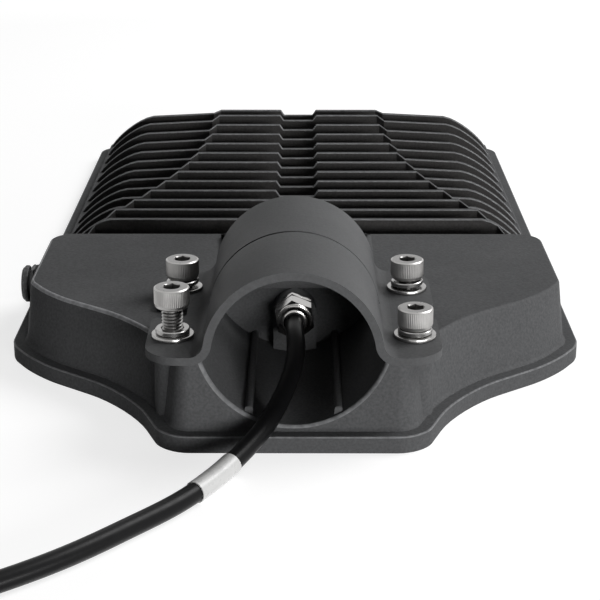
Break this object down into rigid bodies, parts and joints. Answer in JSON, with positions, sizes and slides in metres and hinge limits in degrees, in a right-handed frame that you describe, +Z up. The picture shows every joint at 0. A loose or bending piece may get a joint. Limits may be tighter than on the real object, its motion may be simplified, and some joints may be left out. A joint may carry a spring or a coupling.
{
  "type": "street light",
  "caption": "Grey die-cast street light head with cooling fins, a bolted pole-arm clamp, a cable gland and a black supply cable, lying on its lit side.",
  "frame": {"origin": "middle of the rectangle that the head covers, on the plane of the rim that it lies on, with its lit side down", "axes": "+X across the head, to the right seen from the pole end; +Y along the head from the pole end to the tip; +Z up, away from the lit side"},
  "size_m": [0.3156, 0.5455, 0.069],
  "materials": {
    "cast": "die-cast, dark grey fine-textured powder coat",
    "clamp": "die-cast, dark grey satin powder coat",
    "bolt_steel": "plain stainless, knurled heads",
    "washer_steel": "plain stainless",
    "gland_metal": "nickel plated",
    "seal_rubber": "matt",
    "vent_plastic": "matt",
    "lens_clear": "clear, smooth",
    "board": "white solder mask",
    "emitter": "yellow phosphor",
    "heat_pad": "soft grey",
    "driver_metal": "satin",
    "driver_plastic": "matt",
    "surge_blue": "satin",
    "terminal_plastic": "satin",
    "terminal_metal": "nickel plated",
    "cable_jacket": "smooth, slightly glossy",
    "core_brown": "smooth",
    "core_blue": "smooth",
    "core_green": "smooth",
    "core_ends": "insulated with bare tinned ends",
    "sleeve": "white, blank"
  },
  "bodies": {
    "head": {"housing": "cast", "driver_cover": "cast", "gland_body": "gland_metal", "gland_nut": "gland_metal", "gland_seal": "seal_rubber", "vent_body": "vent_plastic", "vent_cap": "vent_plastic", "vent_seal": "seal_rubber", "cover_seal": "seal_rubber", "cover_screws": "washer_steel", "lens_left": "lens_clear", "lens_right": "lens_clear", "lens_seal_left": "seal_rubber", "lens_seal_right": "seal_rubber", "lens_screws": "washer_steel", "led_board_left": "board", "led_board_right": "board", "leds_left": "emitter", "leds_right": "emitter", "board_screws": "washer_steel", "heat_pads": "heat_pad", "driver_case": "driver_metal", "driver_end_caps": "driver_plastic", "driver_screws": "washer_steel", "surge_protector": "surge_blue", "terminal_block": "terminal_plastic", "terminal_screws": "terminal_metal", "earth_screw": "terminal_metal", "inner_cable": "cable_jacket", "live_core": "core_brown", "neutral_core": "core_blue", "earth_core": "core_green", "driver_lead": "cable_jacket", "board_lead": "cable_jacket", "supply_cable": "cable_jacket", "cable_coil": "cable_jacket", "cable_cores": "core_ends", "marking_sleeve": "sleeve"},
    "clamp": {"tube_clamp": "clamp", "flat_washers": "washer_steel", "spring_washers": "washer_steel"},
    "bolt_front_left": {"clamp_bolt_front_left": "bolt_steel"},
    "bolt_front_right": {"clamp_bolt_front_right": "bolt_steel"},
    "bolt_rear_left": {"clamp_bolt_rear_left": "bolt_steel"},
    "bolt_rear_right": {"clamp_bolt_rear_right": "bolt_steel"}
  },
  "joints": [
    {"name": "clamp_lift", "type": "slide", "parent": "head", "child": "clamp", "axis": [0, 0, 1], "range_m": [0, 0.008]},
    {"name": "bolt_front_left_out", "type": "slide", "parent": "clamp", "child": "bolt_front_left", "axis": [0, 0, 1], "range_m": [-0.008, 0.012]},
    {"name": "bolt_front_right_out", "type": "slide", "parent": "clamp", "child": "bolt_front_right", "axis": [0, 0, 1], "range_m": [0, 0.02]},
    {"name": "bolt_rear_left_out", "type": "slide", "parent": "clamp", "child": "bolt_rear_left", "axis": [0, 0, 1], "range_m": [0, 0.02]},
    {"name": "bolt_rear_right_out", "type": "slide", "parent": "clamp", "child": "bolt_rear_right", "axis": [0, 0, 1], "range_m": [0, 0.02]}
  ]
}
